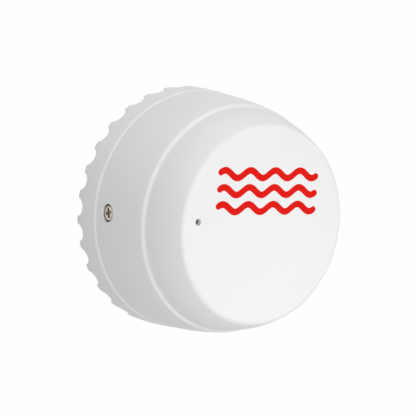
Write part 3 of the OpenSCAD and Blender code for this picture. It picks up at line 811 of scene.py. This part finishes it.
def makeScrew(s):
    bm = carve(screwBlank(s), screwThread(s), "UNION")
    tip = -s["headSink"] - s["length"]
    for vert in bm.verts:
        share = (vert.co.z - tip) / s["point"]
        if share < 1:
            vert.co.xy *= s["pointShare"] + (1 - s["pointShare"]) * max(0.0, share)
    for turn in (s["crossTurn"], s["crossTurn"] + 90):
        bm = carve(bm, crossBar(s, turn), slots=2)
    return bm


def makeSideScrews(s):
    low, high = boxInMm("side_screw_left")
    wall, height = -low.x + s["headSink"], (low.z + high.z) / 2
    nickel = platedMetal("screwNickel", (0.55, 0.51, 0.44), (0.24, 0.185, 0.12), (0.24, 0.44),
                         centre=(0, 0, height * mm), rings=1500.0, stain=900.0)
    # the cross recess's faces get this darker, browner copy of the plating: painted shade in the recess
    recess = platedMetal("recessPaintedShade", (0.27, 0.205, 0.14), (0.13, 0.097, 0.066), (0.6, 0.8),
                         centre=(0, 0, height * mm), stain=1600.0)
    for name, side in (("left", -1), ("right", 1)):
        shape = placed(makeScrew(s), sideways(side, wall, height))
        screw = finishPiece("threadedScrew." + name, shape, [nickel, recess], "screw_" + name)
        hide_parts("side_screw_" + name)


makeSideScrews(screwLook)


# Light guide: a clear rod under the face, whose dished end lies deep in the hole

guideLook = {
    "rodRadius": 1.2,
    "flangeRadius": 1.7,
    "flangeHeight": 0.8,
    "neckRadius": 0.78,
    "endDrop": 0.5,            # of the end's rim below the solid's
    "endDish": 0.15,
    "endSteps": 8,
    "turnSteps": 48,
}


def makeGuide(s, under):
    low, high = boxInMm("light_guide")
    neck, dish, rim = s["neckRadius"], s["endDish"], high.z - s["endDrop"]
    flangeFoot = under - s["flangeHeight"]
    profile = [(0, low.z), (s["rodRadius"], low.z), (s["rodRadius"], flangeFoot)]
    profile += [(s["flangeRadius"], flangeFoot), (s["flangeRadius"], under), (neck, under)]
    bend = (neck ** 2 + dish ** 2) / (2 * dish)
    start = math.degrees(math.atan2(dish - bend, neck))
    profile += arcPoints((0, rim - dish + bend), bend, start, -90, s["endSteps"])
    bm = bmesh.new()
    turned(bm, profile, s["turnSteps"])
    closeUp(bm)
    return placed(bm, Matrix.Translation(((low.x + high.x) / 2, (low.y + high.y) / 2, 0)))


guideClear = clearFinish("guideClear", (0.28, 0.28, 0.265), (0.22, 0.36), 0.7)
faceUnder = boxInMm("housing")[1].z - housingLook["faceWall"]
lightRod = finishPiece("lightRod", makeGuide(guideLook, faceUnder), [guideClear], "sensor_body")
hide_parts("light_guide")


# Face print: three plain red waves

printLook = {
    "centre": (0.3, 8.2),      # on the face
    "waves": 3,
    "width": 30.0,
    "stroke": 1.6,
    "spacing": 4.0,
    "swing": 0.9,
    "waveLength": 7.5,
    "steps": 160,
    "tip": 0.01,               # half the width at the very end of a stroke
    "ink": 0.03,               # thickness of the ink
}


def waveEdges(s, middle, height):
    # both edges of one wave: a stroke of even width along a sine, with round ends
    reach, radius = s["width"] / 2, s["stroke"] / 2
    turn = fullTurn / s["waveLength"]
    lower, upper = [], []
    for i in range(s["steps"] + 1):
        x = -reach * math.cos(math.pi * i / s["steps"])
        slope = s["swing"] * turn * math.cos(turn * x)
        stretch = math.hypot(1, slope)
        past = max(0.0, 1 - (reach - abs(x)) * stretch / radius)
        half = max(s["tip"], radius * math.sqrt(1 - past ** 2))
        place = Vector((s["centre"][0] + x, middle + s["swing"] * math.sin(turn * x), height))
        side = Vector((-slope, 1, 0)) * (half / stretch)
        lower.append(place - side)
        upper.append(place + side)
    return lower, upper


def makePrint(s, face):
    bm = bmesh.new()
    for row in range(s["waves"]):
        middle = s["centre"][1] + (row - (s["waves"] - 1) / 2) * s["spacing"]
        lower, upper = waveEdges(s, middle, face - s["ink"] / 2)
        edges = chain(bm, lower)[1]
        across = {tuple(low): high for low, high in zip(lower, upper)}
        for vert in onlyVerts(bmesh.ops.extrude_edge_only(bm, edges=edges)["geom"]):
            vert.co = across[tuple(vert.co)]
    made = bmesh.ops.extrude_face_region(bm, geom=bm.faces[:])["geom"]
    bmesh.ops.translate(bm, vec=(0, 0, s["ink"]), verts=onlyVerts(made))
    closeUp(bm)
    return bm


redInk = mouldedPlastic("redInk", (0.80, 0.008, 0.004), (0.74, 0.007, 0.003), (0.30, 0.42), grain=5000.0,
                        cloud=400.0, strength=0.08, gloss=0.1)
finishPiece("waveInk", makePrint(printLook, boxInMm("housing")[1].z), [redInk], "sensor_body")


# Finishes of the pieces that keep their own shape

def dress(names, material):
    for name in names:
        for slot in nodes[name].material_slots:
            slot.material = material


def beyond(tree, axis, centre, half, soft=0.02):
    # 1 where a place lies further than half from the centre along one axis, 0 nearer, in millimetres
    split = tree.nodes.new("ShaderNodeSeparateXYZ")
    tree.links.new(objectPlace(tree), split.inputs[0])
    away = addMath(tree, "ABSOLUTE", addMath(tree, "SUBTRACT", split.outputs[axis], centre * mm), 0)
    return addRange(tree, away, (half - soft) * mm, (half + soft) * mm, 0.0, 1.0)


def centreAndHalf(node, axis, inset):
    low, high = boxInMm(node)
    way = "XYZ".index(axis)
    return (low[way] + high[way]) / 2, (high[way] - low[way]) / 2 - inset


def tipped(name, body, ends, roughness, axis, centre, half):
    # a body whose far ends along one axis are of another colour, and metal
    material, tree, shader = newMaterial(name)
    marks = useGroup(tree, mouldGrain, Grain_Scale=6000.0, Cloud_Scale=500.0)
    past = beyond(tree, axis, centre, half)
    mottled = addMix(tree, marks.outputs["Cloud"], (*shaded(body, share=0.8), 1), (*body, 1))
    tree.links.new(addMix(tree, past, mottled, (*ends, 1)), shader.inputs["Base Color"])
    tree.links.new(addRange(tree, past, 0.0, 1.0, *roughness), shader.inputs["Roughness"])
    tree.links.new(past, shader.inputs["Metallic"])
    addBump(tree, shader, marks.outputs["Height"], strength=0.2, depth=0.00001)
    return material


def boardFinish(name, mask, track, roughness):
    # solder mask over a net of copper tracks that shows through it as paler lines
    material, tree, shader = newMaterial(name)
    marks = useGroup(tree, mouldGrain, Grain_Scale=5000.0, Cloud_Scale=300.0)
    bricks = tree.nodes.new("ShaderNodeTexBrick")
    bricks.inputs["Scale"].default_value = 260.0
    bricks.inputs["Mortar Size"].default_value = 0.045
    bricks.inputs["Color1"].default_value = (*mask, 1)
    bricks.inputs["Color2"].default_value = (*shaded(mask), 1)
    bricks.inputs["Mortar"].default_value = (*track, 1)
    tree.links.new(objectPlace(tree), bricks.inputs["Vector"])
    tree.links.new(bricks.outputs["Color"], shader.inputs["Base Color"])
    varied = addRange(tree, marks.outputs["Cloud"], *noiseSpan, *roughness)
    tree.links.new(varied, shader.inputs["Roughness"])
    addBump(tree, shader, bricks.outputs["Fac"], strength=0.25, depth=0.00003)
    return material


tin = (0.74, 0.74, 0.72)
finishLook = {
    "probeSpot": 15.0,         # of a water probe from the middle
    "tipped": [
        # node, material, axis, length of each end, body, ends, roughness of both
        ("battery_cell", "cellSleeve", "Y", 1.4, (0.20, 0.22, 0.25), tin, (0.3, 0.25)),
        ("sense_chip", "sense_chipResin", "X", 1.12, (0.022, 0.022, 0.024), tin, (0.5, 0.3)),
        ("regulator_chip", "regulator_chipResin", "X", 1.12, (0.022, 0.022, 0.024), tin, (0.5, 0.3)),
        ("reservoir_capacitor", "reservoirCan", "Z", 0.3, (0.66, 0.66, 0.65), (0.03, 0.03, 0.03),
         (0.3, 0.6)),
        ("chip_capacitors", "ceramicTan", "X", 0.3, (0.46, 0.31, 0.18), tin, (0.5, 0.3)),
        ("chip_resistors", "resistorBlack", "X", 0.3, (0.02, 0.02, 0.022), tin, (0.4, 0.3)),
    ],
}


def dressNodes(s):
    dress(["base_plug"], mouldedPlastic("plugWhite", (0.86, 0.86, 0.86), (0.82, 0.82, 0.83), (0.5, 0.6)))
    dress(["plug_seal", "probe_seals", "screw_ring_left", "screw_ring_right"],
          mouldedPlastic("sealBlack", (0.035, 0.034, 0.033), (0.022, 0.022, 0.022), (0.55, 0.75),
                         grain=2500.0, cloud=200.0, strength=0.35))
    dress(["water_probes", "probe_nuts"],
          platedMetal("probeNickel", (0.80, 0.78, 0.74), (0.62, 0.59, 0.54), (0.16, 0.32),
                      centre=(s["probeSpot"] * mm, 0, 0), turn=(0, math.pi / 2, 0), mirrored=True))
    dress(["probe_strips", "plus_contact", "minus_contact", "spring_fingers"],
          platedMetal("springTin", (0.78, 0.76, 0.72), (0.66, 0.63, 0.57), (0.24, 0.4),
                      rings=400.0, stain=300.0))
    dress(["radio_shield", "button_frame", "button_dome"],
          platedMetal("canTin", tin, (0.60, 0.60, 0.58), (0.28, 0.42), rings=700.0, stain=250.0))
    dress(["board_screws"],
          platedMetal("boardScrewNickel", (0.72, 0.70, 0.66), (0.5, 0.47, 0.42), (0.25, 0.4)))
    dress(["circuit_board", "radio_board"],
          boardFinish("boardGreen", (0.012, 0.13, 0.05), (0.03, 0.21, 0.085), (0.22, 0.36)))
    for node, name, axis, length, body, ends, roughness in s["tipped"]:
        dress([node], tipped(name, body, ends, roughness, axis, *centreAndHalf(node, axis, length)))
    dress(["radio_chip", "button_base", "button_plunger"],
          mouldedPlastic("resinBlack", (0.028, 0.028, 0.03), (0.018, 0.018, 0.02), (0.42, 0.55),
                         cloud=400.0))
    dress(["status_led"], clearFinish("ledResin", (0.86, 0.80, 0.52), (0.18, 0.3), 0.25))


dressNodes(finishLook)
print("finishes set")
